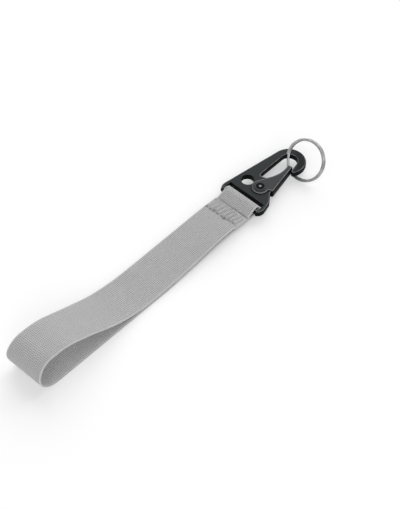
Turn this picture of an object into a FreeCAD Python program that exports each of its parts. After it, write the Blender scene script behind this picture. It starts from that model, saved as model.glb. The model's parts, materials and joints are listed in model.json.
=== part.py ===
"""Belt key clip: a snap hook sewn to a webbing wrist or belt loop, with a split ring in the hook's eye.

Frame: the origin is on the surface that the part lies on, under the middle of the strap's flat
resting stretch. +X runs along the strap towards the hook, +Y across the strap, +Z up.
"""
import FreeCAD, Part
import math
import os
import re

import Sketcher

Vector = FreeCAD.Vector

# Driving dimensions in millimetres, angles in degrees
SIZES = [
    ("web_width", 25.0, "strap webbing: width"),
    ("web_thick", 1.2, "strap webbing: thickness"),
    ("rest_length", 77.5, "strap: stretch that lies flat, loop end to the start of the rise"),
    ("rise_run", 55.0, "strap: run in which the lower layer rises to the seam"),
    ("seam_run", 20.0, "strap: from the end of the rise to the hook's bar"),
    ("ease_radius", 150.0, "strap: radius of the gentle bends"),
    ("loop_height", 22.2, "loop end: outside height"),
    ("crest_radius", 30.0, "loop end: radius of the crest of the upper layer"),
    ("crest_run", 3.0, "loop end: level stretch before the crest"),
    ("dip_radius", 75.0, "upper layer: radius where it levels out"),
    ("dip_run", 70.0, "upper layer: from the loop end's centre to where it levels out"),
    ("upper_level", 2.0, "upper layer: height of its middle where it runs level"),
    ("upper_run", 57.0, "upper layer: run in which it rises to the seam"),
    ("ply_gap", 0.15, "seam: gap between the sewn layers"),
    ("tab_radius", 2.0, "tab: radius where it dips into the seam"),
    ("tab_run", 8.4, "tab: from the bar's axis to where it lies flat in the seam"),
    ("lap_length", 10.2, "seam: length of the overlap of the strip's two ends"),
    ("thread_thick", 0.5, "seam: thread thickness"),
    ("thread_stand", 0.3, "seam: height of the thread above the webbing"),
    ("stitch_pitch", 2.9, "seam: distance from stitch to stitch"),
    ("stitch_gap", 0.6, "seam: gap between two stitches"),
    ("stitch_count", 8, "seam: stitches in a row"),
    ("row_margin", 1.3, "seam: from the end of the webbing to the nearest row"),
    ("row_spacing", 7.5, "seam: distance between the two rows"),
    ("clip_height", 5.9, "hook: height of the plate's middle above the resting surface"),
    ("plate_thick", 3.8, "hook plate: thickness"),
    ("leg_width", 2.6, "hook plate: width of the legs beside the slot"),
    ("plate_round", 0.8, "hook plate: edge rounding"),
    ("corner_radius", 5.0, "hook plate: radius of the two corners at the bar"),
    ("bar_radius", 2.0, "hook plate: radius of the webbing bar"),
    ("bar_margin", 1.0, "hook plate: how far the legs stand past the bar"),
    ("bar_sink", 1.3, "hook plate: length of the bar inside each leg"),
    ("wrap_clear", 0.2, "clearance between the bar and the webbing round it"),
    ("slot_side_clear", 0.6, "clearance between the webbing's edge and the slot's end"),
    ("slot_reach", 5.4, "hook plate: from the bar's axis to the slot's front edge"),
    ("eye_past", 3.7, "hook plate: from the gate's tip to the eye's centre, along the web"),
    ("eye_radius", 5.0, "hook plate: radius of the eye"),
    ("bow_width", 5.3, "hook plate: width of the bow round the eye"),
    ("nose_radius", 1.6, "hook plate: radius of the nose"),
    ("nose_stand", 0.25, "hook plate: how far the nose stands past the round of the bow"),
    ("nose_gap", 0.25, "clearance between the nose and the gate"),
    ("tail_x", 22.8, "hook plate: from the bar's axis to the end of the finger slot"),
    ("tail_y", 3.2, "hook plate: end of the finger slot across"),
    ("tail_radius", 1.2, "hook plate: radius of the end of the finger slot"),
    ("shoulder_x", 7.0, "hook plate: from the bar's axis to the round shoulder beside the gate"),
    ("shoulder_y", -9.4, "hook plate: the shoulder's centre across"),
    ("shoulder_radius", 5.0, "hook plate: radius of the shoulder"),
    ("side_x", 14.8, "hook plate: from the bar's axis to where its side meets the gate"),
    ("side_y", -9.6, "hook plate: that place across"),
    ("hole_x", 13.7, "hook plate: from the bar's axis to the round hole"),
    ("hole_y", 7.1, "hook plate: round hole across"),
    ("hole_radius", 4.0, "hook plate: radius of the round hole"),
    ("pivot_x", 14.0, "gate: from the bar's axis to the rivet"),
    ("pivot_y", -2.4, "gate: rivet across"),
    ("gate_sheet", 0.65, "gate: sheet thickness"),
    ("gate_web_reach", 8.5, "gate: from the rivet to the outside of the web"),
    ("gate_reach", 24.6, "gate: from the rivet to the tip, along the web"),
    ("gate_heel_reach", 0.4, "gate: from the rivet forward to the heel, along the web"),
    ("gate_tip_width", 3.3, "gate: width of the cheek at the tip"),
    ("gate_eye_radius", 5.6, "gate: radius of the round eye at the rivet"),
    ("gate_throat_radius", 20.0, "gate: radius of the hollow in the cheek's inner edge"),
    ("gate_throat_reach", 22.8, "gate: from the rivet to the end of that hollow, along the web"),
    ("gate_corner", 0.9, "gate: radius of the tip's, the heel's and the step's corners"),
    ("gate_fold", 1.1, "gate: outside radius of the fold"),
    ("gate_side_clear", 0.15, "clearance between a cheek and the plate"),
    ("gate_stop_gap", 0.1, "clearance between the open gate and its stop"),
    ("gate_stop_start", -0.5, "gate stop: where its edge starts, along the open web"),
    ("gate_stop_end", 8.0, "gate stop: where its edge ends, along the open web"),
    ("gate_angle", 11.5, "gate: angle of the shut gate's web from the strap's line"),
    ("gate_opening_angle", 20.0, "gate: angle by which it opens"),
    ("rivet_radius", 1.75, "rivet: radius of the shank"),
    ("rivet_run_clear", 0.05, "clearance of the rivet in the gate and in the plate, and under its heads"),
    ("rivet_head_radius", 3.3, "rivet: radius of the heads"),
    ("rivet_head_height", 0.6, "rivet: height of the heads"),
    ("rivet_ring_width", 0.7, "rivet: width of the rolled ring on the upper head"),
    ("rivet_groove_width", 1.4, "rivet: width of the groove inside the rolled ring"),
    ("rivet_groove_depth", 0.5, "rivet: depth of that groove"),
    ("spring_wire", 0.45, "gate spring: wire diameter"),
    ("spring_radius", 2.75, "gate spring: radius of the coil's middle"),
    ("spring_pitch", 0.95, "gate spring: height of a turn"),
    ("spring_turns", 2, "gate spring: turns"),
    ("spring_clear", 0.15, "clearance round the gate spring"),
    ("spring_anchor", 4.0, "gate spring: length of the leg held in the plate"),
    ("spring_leg_angle", 50.0, "gate spring: angle from the gate's web to the leg that pushes it"),
    ("ring_diameter", 26.2, "split ring: outside diameter"),
    ("ring_band", 1.6, "split ring: width of the flat wire"),
    ("ring_thick", 0.9, "split ring: thickness of the flat wire"),
    ("ring_corner", 0.35, "split ring: edge rounding of the wire"),
    ("ring_gap", 0.45, "split ring: gap between its two turns"),
    ("ring_jog_angle", 50.0, "split ring: angle in which the wire passes from turn to turn"),
    ("ring_seat_x", 0.1, "split ring: its place in the eye, along"),
    ("ring_seat_y", 0.86, "split ring: its place in the eye, across"),
    ("ring_hang_angle", 34.8, "split ring: angle of its centre above its place in the eye"),
    ("ring_lean_angle", 58.5, "split ring: lean of its plane from the level"),
    ("ring_turn_angle", 180.0, "split ring: direction that its face looks to"),
    ("ring_spin_angle", 62.0, "split ring: where its wire ends"),
    ("overrun", 2.0, "length by which a cut runs past the solid"),
]

doc = FreeCAD.newDocument("belt_key_clip")
sheet = doc.addObject("Spreadsheet::Sheet", "Sheet")
for row, (alias, number, note) in enumerate(SIZES, start=1):
    sheet.set(f"A{row}", note)
    sheet.set(f"B{row}", str(number))
    sheet.setAlias(f"B{row}", alias)
doc.recompute()

ALIASES = {alias for alias, number, note in SIZES}

# Sizes that follow from the driving ones, as formulas
DERIVED = {
    "bar_x": "(rest_length / 2 + rise_run + seam_run)",
    "wrap_radius": "(bar_radius + wrap_clear + web_thick / 2)",
    "lower_ply": "(clip_height - wrap_radius)",
    "middle_ply": "(lower_ply + web_thick + ply_gap)",
    "upper_ply": "(middle_ply + web_thick + ply_gap)",
    "loop_radius": "((loop_height - web_thick) / 2)",
    "loop_x": "(-rest_length / 2)",
    "lap_end": "(bar_x - tab_run)",
    "lap_start": "(lap_end - lap_length)",
    "front_row": "(lap_end - row_margin)",
    "slot_half": "(web_width / 2 + slot_side_clear)",
    "corner_x": "(corner_radius - bar_radius - bar_margin)",
    "corner_y": "(slot_half + leg_width - corner_radius)",
    "nose_line": "(gate_web_reach + nose_gap)",
    "eye_along": "(gate_reach + eye_past)",
    "bow_radius": "(eye_radius + bow_width)",
    "nose_far": "(bow_radius - nose_radius + nose_stand)",
    "nose_side": "(eye_radius + nose_radius)",
    "nose_along": "(eye_along - sqrt(nose_far * nose_far - nose_side * nose_side))",
    "eye_outward": "(nose_line - eye_radius)",
    "eye_x": "(pivot_x + eye_along * cos(gate_angle) + eye_outward * sin(gate_angle))",
    "eye_y": "(pivot_y + eye_along * sin(gate_angle) - eye_outward * cos(gate_angle))",
    "open_angle": "(gate_angle + gate_opening_angle)",
    "stop_line": "(gate_web_reach - gate_sheet - gate_stop_gap)",
    "gate_gap_height": "(plate_thick + 2 * gate_side_clear)",
    "gate_height": "(gate_gap_height + 2 * gate_sheet)",
    "rivet_seat": "(gate_height / 2 + rivet_run_clear)",
    "spring_room": "(spring_radius + spring_wire / 2 + spring_clear)",
    "spring_depth": "(spring_turns * spring_pitch + spring_wire + 2 * spring_clear)",
    "spring_way": "(gate_angle - spring_leg_angle)",
    "spring_leg_end": "(gate_web_reach - gate_sheet - spring_wire / 2 - spring_clear)",
    "spring_leg": "((spring_leg_end - spring_radius * cos(spring_leg_angle)) / sin(spring_leg_angle))",
    "stitch_row_length": "(stitch_count * stitch_pitch)",
    "thread_top": "(upper_ply + web_thick / 2 + thread_stand)",
    "thread_bottom": "(lower_ply - web_thick / 2 - thread_stand)",
}


def formula(text):
    """Write out the derived sizes and point the driving ones at the sheet."""
    def name(match):
        word = match.group(0)
        if word in DERIVED:
            return formula(DERIVED[word])
        return "Sheet." + word if word in ALIASES else word
    return re.sub(r"[a-z][a-z_]*", name, text)


def value(text):
    """The number that a formula gives."""
    number = sheet.evalExpression(formula(text))
    return float(getattr(number, "Value", number))


def bind(thing, prop, text):
    thing.setExpression(prop, formula(text))


def plane_x(along, outward, angle):
    """Plate X of a place given along a gate's web and outward from the rivet to the web."""
    return f"(pivot_x + ({along}) * cos({angle}) + ({outward}) * sin({angle}))"


def plane_y(along, outward, angle):
    """Plate Y of the same place."""
    return f"(pivot_y + ({along}) * sin({angle}) - ({outward}) * cos({angle}))"


# Bodies, sketches and features
def new_body(label):
    body = doc.addObject("PartDesign::Body", label)
    body.Label = label
    return body


def new_sketch(body, name, role, lift=None):
    """A sketch on one of the body's own planes, lifted off it by a formula."""
    sketch = body.newObject("Sketcher::SketchObject", name)
    plane = [item for item in body.Origin.OriginFeatures if item.Role == role][0]
    sketch.AttachmentSupport = [(plane, "")]
    sketch.MapMode = "FlatFace"
    if lift:
        bind(sketch, "AttachmentOffset.Base.z", lift)
    return sketch


def pin_point(sketch, geometry, point, x_text, y_text):
    """Hold a point of the sketch at two formulas."""
    for kind, text in (("DistanceX", x_text), ("DistanceY", y_text)):
        index = sketch.addConstraint(Sketcher.Constraint(kind, -1, 1, geometry, point, value(text)))
        sketch.setExpression(f"Constraints[{index}]", formula(text))


def outline(sketch, nodes):
    """Draw a closed outline of straight runs and tangent arcs.

    Each node is (x, y, radius): an arc that turns left round its centre, an arc that turns right
    where the radius starts with a minus, or a sharp corner where it is None.
    """
    places = []
    for x_text, y_text, radius_text in nodes:
        places.append((Vector(value(x_text), value(y_text), 0), value(radius_text) if radius_text else 0))
    headings = []
    for here, there in zip(places, places[1:] + places[:1]):
        step = there[0] - here[0]
        headings.append(math.atan2(step.y, step.x) - math.asin((there[1] - here[1]) / step.Length))

    def on_run(place, heading):
        return place[0] + Vector(math.sin(heading), -math.cos(heading), 0) * place[1]

    runs = []
    for index, heading in enumerate(headings):
        start = on_run(places[index], heading)
        end = on_run(places[(index + 1) % len(places)], heading)
        runs.append(sketch.addGeometry(Part.LineSegment(start, end)))
    for index, (x_text, y_text, radius_text) in enumerate(nodes):
        before, after = runs[index - 1], runs[index]
        centre, radius = places[index]
        if not radius_text:
            sketch.addConstraint(Sketcher.Constraint("Coincident", before, 2, after, 1))
            pin_point(sketch, after, 1, x_text, y_text)
            continue
        turn = math.copysign(math.pi / 2, radius)
        first, last = headings[index - 1] - turn, headings[index] - turn
        enter, leave = (1, 2) if radius > 0 else (2, 1)
        first, last = (first, last) if radius > 0 else (last, first)
        circle = Part.Circle(centre, Vector(0, 0, 1), abs(radius))
        arc = sketch.addGeometry(Part.ArcOfCircle(circle, first, last))
        sketch.addConstraint(Sketcher.Constraint("Tangent", before, 2, arc, enter))
        sketch.addConstraint(Sketcher.Constraint("Tangent", after, 1, arc, leave))
        pin_point(sketch, arc, 3, x_text, y_text)
        held = sketch.addConstraint(Sketcher.Constraint("Radius", arc, abs(radius)))
        sketch.setExpression(f"Constraints[{held}]", formula(radius_text.lstrip("-")))


def disc(sketch, x_text, y_text, radius_text):
    """Draw a full circle."""
    centre = Vector(value(x_text), value(y_text), 0)
    ring = sketch.addGeometry(Part.Circle(centre, Vector(0, 0, 1), value(radius_text)))
    pin_point(sketch, ring, 3, x_text, y_text)
    held = sketch.addConstraint(Sketcher.Constraint("Radius", ring, value(radius_text)))
    sketch.setExpression(f"Constraints[{held}]", formula(radius_text))


def box_nodes(left, right, low, high):
    """The four corners of a rectangle, for outline."""
    return [(left, low, None), (right, low, None), (right, high, None), (left, high, None)]


def pad(body, name, sketch, length):
    """Thicken a sketch by half the length on each side of it."""
    feature = body.newObject("PartDesign::Pad", name)
    feature.Profile = sketch
    feature.Midplane = True
    bind(feature, "Length", length)
    doc.recompute()
    return feature


def pocket(body, name, sketch, length, both_sides=True):
    """Cut a sketch out of the body, and make sure that it cut something."""
    before = body.Shape.Volume
    feature = body.newObject("PartDesign::Pocket", name)
    feature.Profile = sketch
    feature.Midplane = both_sides
    bind(feature, "Length", length)
    doc.recompute()
    if not body.Shape.Volume < before:
        raise RuntimeError(name + " cuts nothing")
    return feature


def fillet(body, name, base, radius, wanted):
    """Round the edges of the base feature that the test picks."""
    names = [f"Edge{i}" for i, edge in enumerate(base.Shape.Edges, start=1) if wanted(edge)]
    feature = body.newObject("PartDesign::Fillet", name)
    feature.Base = (base, names)
    bind(feature, "Radius", radius)
    doc.recompute()
    return feature


def place(thing, x_text, y_text, z_text):
    for axis, text in (("x", x_text), ("y", y_text), ("z", z_text)):
        bind(thing, f"Placement.Base.{axis}", text)


def webbing_strap():
    """One strip of webbing: its upper end, the loop, the resting stretch, the bar and its lower end."""
    bends = [
        ("bar_x - seam_run", "upper_ply - ease_radius", "ease_radius"),
        ("bar_x - seam_run - upper_run", "upper_level + ease_radius", "-ease_radius"),
        ("loop_x + dip_run", "upper_level + dip_radius", "-dip_radius"),
        ("loop_x + crest_run", "loop_height - web_thick / 2 - crest_radius", "crest_radius"),
        ("loop_x", "loop_height / 2", "loop_radius"),
        ("rest_length / 2", "web_thick / 2 + ease_radius", "ease_radius"),
        ("rest_length / 2 + rise_run", "lower_ply - ease_radius", "-ease_radius"),
        ("bar_x", "clip_height", "wrap_radius"),
        ("lap_end", "middle_ply + tab_radius", "-tab_radius"),
    ]
    left_side = []
    right_side = []
    for x_text, z_text, radius_text in bends:
        size = radius_text.lstrip("-")
        thin, thick = f"({size} - web_thick / 2)", f"({size} + web_thick / 2)"
        if radius_text.startswith("-"):
            left_side.append((x_text, z_text, "-" + thick))
            right_side.append((x_text, z_text, thin))
        else:
            left_side.append((x_text, z_text, thin))
            right_side.append((x_text, z_text, "-" + thick))
    upper_end = [
        ("lap_end", "upper_ply + web_thick / 2", None),
        ("lap_end", "upper_ply - web_thick / 2", None),
    ]
    lower_end = [
        ("lap_start", "middle_ply - web_thick / 2", None),
        ("lap_start", "middle_ply + web_thick / 2", None),
    ]
    body = new_body("webbing_strap")
    sketch = new_sketch(body, "strap_profile", "XZ_Plane")
    outline(sketch, upper_end + left_side + lower_end + right_side[::-1])
    pad(body, "strap_pad", sketch, "web_width")
    return body


def thread_row(label, row_x, surface, knot, stand):
    """One thread of a sewn row: stitches on one face of the seam, with legs down to the locks.

    The surface formula is the thread's outer height, knot the height where the two threads lock,
    and stand is -1 for a thread on the underside.
    """
    side = "thread_thick" if stand > 0 else "-thread_thick"
    run_end = "(stitch_pitch - stitch_gap)"
    corners = [
        ("0", knot),
        ("thread_thick", knot),
        ("thread_thick", f"({surface}) - ({side})"),
        (f"{run_end} - thread_thick", f"({surface}) - ({side})"),
        (f"{run_end} - thread_thick", knot),
        ("stitch_pitch + thread_thick", knot),
        ("stitch_pitch + thread_thick", f"({knot}) + ({side})"),
        (run_end, f"({knot}) + ({side})"),
        (run_end, surface),
        ("0", surface),
    ]
    body = new_body(label)
    sketch = new_sketch(body, label + "_stitch", "YZ_Plane")
    nodes = [(y_text, z_text, None) for y_text, z_text in corners]
    outline(sketch, nodes if stand > 0 else nodes[::-1])
    stitch = pad(body, label + "_pad", sketch, "thread_thick")
    pattern = body.newObject("PartDesign::LinearPattern", label + "_row")
    pattern.Originals = [stitch]
    pattern.Direction = (sketch, ["H_Axis"])
    bind(pattern, "Length", "stitch_row_length - stitch_pitch")
    bind(pattern, "Occurrences", "stitch_count")
    body.Tip = pattern
    place(body, row_x, "-stitch_row_length / 2", "0")
    return body


def hook_plate():
    """The die-cast plate: webbing bar, body with the rivet and the round hole, spine, bow and nose."""
    nose = ("nose_along", "nose_line + nose_radius", "gate_angle")
    stop_start = ("gate_stop_start", "stop_line", "open_angle")
    stop_end = ("gate_stop_end", "stop_line", "open_angle")
    body = new_body("hook_plate")
    sketch = new_sketch(body, "plate_outline", "XY_Plane")
    outline(sketch, [
        ("corner_x", "-corner_y", "corner_radius"),
        ("shoulder_x", "shoulder_y", "shoulder_radius"),
        ("side_x", "side_y", None),
        (plane_x(*stop_start), plane_y(*stop_start), None),
        (plane_x(*stop_end), plane_y(*stop_end), None),
        ("tail_x", "tail_y", "-tail_radius"),
        ("eye_x", "eye_y", "-eye_radius"),
        (plane_x(*nose), plane_y(*nose), "nose_radius"),
        ("eye_x", "eye_y", "bow_radius"),
        ("corner_x", "corner_y", "corner_radius"),
    ])
    blank = pad(body, "plate_pad", sketch, "plate_thick")
    half = value("plate_thick / 2")

    def rim(edge):
        box = edge.BoundBox
        flat = box.ZLength < half and abs(abs(box.Center.z) - half) < half / 2
        return flat and edge.Length > value("nose_radius")

    fillet(body, "plate_rounding", blank, "plate_round", rim)
    slot = new_sketch(body, "slot_outline", "XY_Plane")
    outline(slot, box_nodes("-bar_radius - bar_margin - overrun", "slot_reach", "-slot_half", "slot_half"))
    pocket(body, "slot_cut", slot, "plate_thick + overrun")
    bar = new_sketch(body, "bar_section", "XZ_Plane")
    disc(bar, "0", "0", "bar_radius")
    pad(body, "bar_pad", bar, "2 * (slot_half + bar_sink)")
    hole = new_sketch(body, "hole_outline", "XY_Plane")
    disc(hole, "hole_x", "hole_y", "hole_radius")
    pocket(body, "hole_cut", hole, "plate_thick + overrun")
    rivet_hole = new_sketch(body, "rivet_hole_outline", "XY_Plane")
    disc(rivet_hole, "pivot_x", "pivot_y", "rivet_radius + rivet_run_clear")
    pocket(body, "rivet_hole_cut", rivet_hole, "plate_thick + overrun")
    spring_room = new_sketch(body, "spring_room_outline", "XY_Plane", "plate_thick / 2")
    disc(spring_room, "pivot_x", "pivot_y", "spring_room")
    pocket(body, "spring_room_cut", spring_room, "spring_depth", False)
    channel = new_sketch(body, "spring_channel_outline", "XY_Plane", "plate_thick / 2")
    near = "(spring_radius - spring_wire / 2 - spring_clear)"
    far = "(spring_radius + spring_wire / 2 + spring_clear)"
    back = "(-spring_anchor - spring_clear)"
    front = "(spring_leg + overrun)"
    ends = [(back, far), (front, far), (front, near), (back, near)]
    outline(channel, [(plane_x(*end, "spring_way"), plane_y(*end, "spring_way"), None) for end in ends])
    pocket(body, "spring_channel_cut", channel, "spring_depth", False)
    place(body, "bar_x", "0", "clip_height")
    return body


def gate():
    """The sprung gate, folded from sheet: two cheeks over and under the plate, and the web between."""
    web_line = "-gate_web_reach"
    tip_line = "(-gate_web_reach + gate_tip_width)"
    body = new_body("gate")
    sketch = new_sketch(body, "cheek_outline", "XY_Plane")
    outline(sketch, [
        ("gate_heel_reach + gate_corner", web_line + " + gate_corner", "gate_corner"),
        ("gate_reach - gate_corner", web_line + " + gate_corner", "gate_corner"),
        ("gate_reach - gate_corner", tip_line + " - gate_corner", "gate_corner"),
        ("gate_throat_reach", tip_line + " + gate_throat_radius", "-gate_throat_radius"),
        ("0", "0", "gate_eye_radius"),
        ("gate_heel_reach - gate_corner", "-gate_eye_radius - gate_corner", "-gate_corner"),
    ])
    blank = pad(body, "cheek_pad", sketch, "gate_height")
    edge_y = value(web_line + " + gate_corner")

    def fold(edge):
        box = edge.BoundBox
        return box.ZLength < value("gate_sheet") / 2 and box.YMax < edge_y + value("gate_corner") / 2

    fillet(body, "web_fold", blank, "gate_fold", fold)
    room = new_sketch(body, "plate_room_outline", "XY_Plane")
    outline(room, box_nodes(
        "-gate_eye_radius - overrun",
        "gate_reach + overrun",
        web_line + " + gate_sheet",
        "gate_eye_radius + overrun",
    ))
    pocket(body, "plate_room_cut", room, "gate_gap_height")
    rivet_hole = new_sketch(body, "gate_rivet_hole", "XY_Plane")
    disc(rivet_hole, "0", "0", "rivet_radius + rivet_run_clear")
    pocket(body, "gate_rivet_cut", rivet_hole, "gate_height + overrun")
    place(body, "bar_x + pivot_x", "pivot_y", "clip_height")
    bind(body, "Placement.Rotation.Angle", "gate_angle")
    return body


def pivot_rivet():
    """The rivet that the gate turns on, with a rolled ring round a hollow on its upper head."""
    groove_out = "(rivet_head_radius - rivet_ring_width)"
    groove_in = f"({groove_out} - rivet_groove_width)"
    head_top = "(rivet_seat + rivet_head_height)"
    groove_floor = f"({head_top} - rivet_groove_depth)"
    profile = [
        ("0", f"-{head_top}"),
        ("rivet_head_radius", f"-{head_top}"),
        ("rivet_head_radius", "-rivet_seat"),
        ("rivet_radius", "-rivet_seat"),
        ("rivet_radius", "rivet_seat"),
        ("rivet_head_radius", "rivet_seat"),
        ("rivet_head_radius", head_top),
        (groove_out, head_top),
        (groove_out, groove_floor),
        (groove_in, groove_floor),
        (groove_in, head_top),
        ("0", head_top),
    ]
    body = new_body("pivot_rivet")
    sketch = new_sketch(body, "rivet_profile", "XZ_Plane")
    outline(sketch, [(x_text, z_text, None) for x_text, z_text in profile])
    turned = body.newObject("PartDesign::Revolution", "rivet_turned")
    turned.Profile = sketch
    turned.ReferenceAxis = (sketch, ["V_Axis"])
    doc.recompute()
    place(body, "bar_x + pivot_x", "pivot_y", "clip_height")
    return body


# Wound wire
def biarc(start, start_way, end, end_way):
    """Two tangent arcs from one place and direction to another."""
    chord = end - start
    ways = start_way + end_way
    bend = 2 * (1 - start_way.dot(end_way))
    along = chord.dot(ways)
    reach = (-along + math.sqrt(along * along + bend * chord.dot(chord))) / bend
    knee_a = start + start_way * reach
    knee_b = end - end_way * reach
    middle = (knee_a + knee_b) * 0.5
    edges = []
    for first, knee, last in ((start, knee_a, middle), (middle, knee_b, end)):
        half = (last - first).Length / 2
        side = (knee - first).Length
        rise = math.sqrt(max(side * side - half * half, 0))
        sag = half * rise / (side + half)
        chord_middle = (first + last) * 0.5
        crown = chord_middle + (knee - chord_middle).normalize() * sag
        edges.append(Part.Arc(first, crown, last).toShape())
    return edges


def wound_path(radius, low, high, start_angle, end_angle, pieces):
    """Arcs round an axis at one radius, from one height to another and level at both ends."""
    sweep = end_angle - start_angle

    def spot(share):
        angle = start_angle + sweep * share
        height = low + (high - low) * share * share * (3 - 2 * share)
        return Vector(radius * math.cos(angle), radius * math.sin(angle), height)

    def way(share):
        angle = start_angle + sweep * share
        climb = (high - low) * 6 * share * (1 - share) / sweep
        return Vector(-radius * math.sin(angle), radius * math.cos(angle), climb).normalize()

    shares = [i / pieces for i in range(pieces + 1)]
    edges = []
    for first, last in zip(shares, shares[1:]):
        edges += biarc(spot(first), way(first), spot(last), way(last))
    return edges


def pipe(label, section, edges):
    """A piece made by sweeping a closed section along the edges."""
    piece = doc.addObject("Part::Feature", label)
    piece.Label = label
    piece.Shape = Part.Wire(edges).makePipeShell([section], True, False)
    return piece


def print_self_gap(label, edges, turn_length, gap):
    """Print the least gap between neighbouring turns, measured on points of the path."""
    steps_per_turn = 72
    points = Part.Wire(edges).discretize(Distance=turn_length / steps_per_turn)
    least = turn_length
    for i, here in enumerate(points):
        for there in points[i + steps_per_turn // 2:]:
            least = min(least, gap(there - here))
    print(f"{label}: least gap to itself {least:.3f} mm")


def rounded_section(place, half_width, half_height, corner):
    """A rectangle with round corners, standing across the wire at a place on its path."""
    crown_share = 1 - math.sqrt(0.5)
    crown = corner * crown_share
    rounds = []
    for side, up in ((1, 1), (-1, 1), (-1, -1), (1, -1)):
        points = [
            Vector(side * half_width, 0, up * (half_height - corner)),
            Vector(side * (half_width - crown), 0, up * (half_height - crown)),
            Vector(side * (half_width - corner), 0, up * half_height),
        ]
        rounds.append([place + point for point in (points if side == up else points[::-1])])
    edges = []
    for here, following in zip(rounds, rounds[1:] + rounds[:1]):
        edges.append(Part.Arc(*here).toShape())
        edges.append(Part.LineSegment(here[2], following[0]).toShape())
    return Part.Wire(edges)


def split_ring():
    """Two turns of flat wire; the wire passes from one turn to the next in a short jog."""
    radius = value("(ring_diameter - ring_band) / 2")
    band, thick = value("ring_band"), value("ring_thick")
    top = value("(ring_thick + ring_gap) / 2")
    jog = math.radians(value("ring_jog_angle"))
    lap = 2 * math.pi - jog
    edges = wound_path(radius, -top, -top, 0, lap, 2)
    edges += wound_path(radius, -top, top, lap, lap + jog, 1)
    edges += wound_path(radius, top, top, lap + jog, 2 * lap + jog, 2)
    section = rounded_section(Vector(radius, 0, -top), band / 2, thick / 2, value("ring_corner"))
    ring = pipe("split_ring", section, edges)

    def gap(step):
        return math.hypot(max(math.hypot(step.x, step.y) - band, 0), max(abs(step.z) - thick, 0))

    print_self_gap("split_ring", edges, 2 * math.pi * radius, gap)
    turn = math.radians(value("ring_turn_angle"))
    lean = math.radians(value("ring_lean_angle"))
    hang = math.radians(value("ring_hang_angle"))
    face = Vector(math.sin(lean) * math.cos(turn), math.sin(lean) * math.sin(turn), math.cos(lean))
    level_way = face.cross(Vector(0, 0, 1)).normalize()
    up_way = level_way.cross(face)
    seat = Vector(
        value("bar_x + eye_x + ring_seat_x"),
        value("eye_y + ring_seat_y"),
        value("clip_height"),
    )
    centre = seat + (up_way * math.sin(hang) - level_way * math.cos(hang)) * radius
    spin = FreeCAD.Rotation(Vector(0, 0, 1), value("ring_spin_angle"))
    ring.Placement = FreeCAD.Placement(centre, FreeCAD.Rotation(level_way, up_way, face, "ZXY") * spin)
    return ring


def gate_spring():
    """The torsion spring round the rivet, hidden in the plate: one leg in the plate, one on the web."""
    radius, wire = value("spring_radius"), value("spring_wire")
    rise = value("spring_turns * spring_pitch")
    quarters = int(4 * value("spring_turns"))
    coil = wound_path(radius, -rise / 2, rise / 2, 0, quarters * math.pi / 2, quarters)
    coil_start, coil_end = Vector(radius, 0, -rise / 2), Vector(radius, 0, rise / 2)
    anchor = coil_start - Vector(0, value("spring_anchor"), 0)
    tip = coil_end + Vector(0, value("spring_leg"), 0)
    edges = [Part.LineSegment(anchor, coil_start).toShape()]
    edges += coil
    edges.append(Part.LineSegment(coil_end, tip).toShape())
    section = Part.Wire(Part.Circle(anchor, Vector(0, 1, 0), wire / 2).toShape())
    spring = pipe("gate_spring", section, edges)
    print_self_gap("gate_spring", edges, 2 * math.pi * radius, lambda step: step.Length - wire)
    seat = Vector(
        value("bar_x + pivot_x"),
        value("pivot_y"),
        value("clip_height + plate_thick / 2 - spring_depth / 2"),
    )
    spring.Placement = FreeCAD.Placement(seat, FreeCAD.Rotation(Vector(0, 0, 1), value("spring_way") - 90))
    return spring


SEAM_KNOT = "middle_ply"
PIECES = [
    webbing_strap(),
    thread_row("needle_thread_front", "front_row", "thread_top", SEAM_KNOT, 1),
    thread_row("bobbin_thread_front", "front_row", "thread_bottom", SEAM_KNOT, -1),
    thread_row("needle_thread_back", "front_row - row_spacing", "thread_top", SEAM_KNOT, 1),
    thread_row("bobbin_thread_back", "front_row - row_spacing", "thread_bottom", SEAM_KNOT, -1),
    hook_plate(),
    gate(),
    pivot_rivet(),
    gate_spring(),
    split_ring(),
]

doc.recompute()
for thing in doc.Objects:
    if "Invalid" in thing.State or "Error" in thing.State:
        raise RuntimeError(thing.Label + " failed: " + str(thing.State))
for piece in PIECES:
    if piece.Shape.isNull() or not piece.Shape.isValid() or len(piece.Shape.Solids) != 1:
        raise RuntimeError(piece.Label + " is not one valid solid")
os.makedirs("parts", exist_ok=True)
for piece in PIECES:
    piece.Shape.exportStep(f"parts/{piece.Label}.step")
    box = piece.Shape.BoundBox
    print(f"{piece.Label}: {piece.Shape.Volume:.1f} mm3, {box}")
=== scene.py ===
"""Looks of the belt key clip: woven strap, stitches, coated hook, bright ring and a plain white stage.

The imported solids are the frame. The strap and its threads are modelled here, and the hook's metal
pieces and the ring keep their solids and get their finish here. All sizes are in metres.
"""
import json
import math

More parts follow.
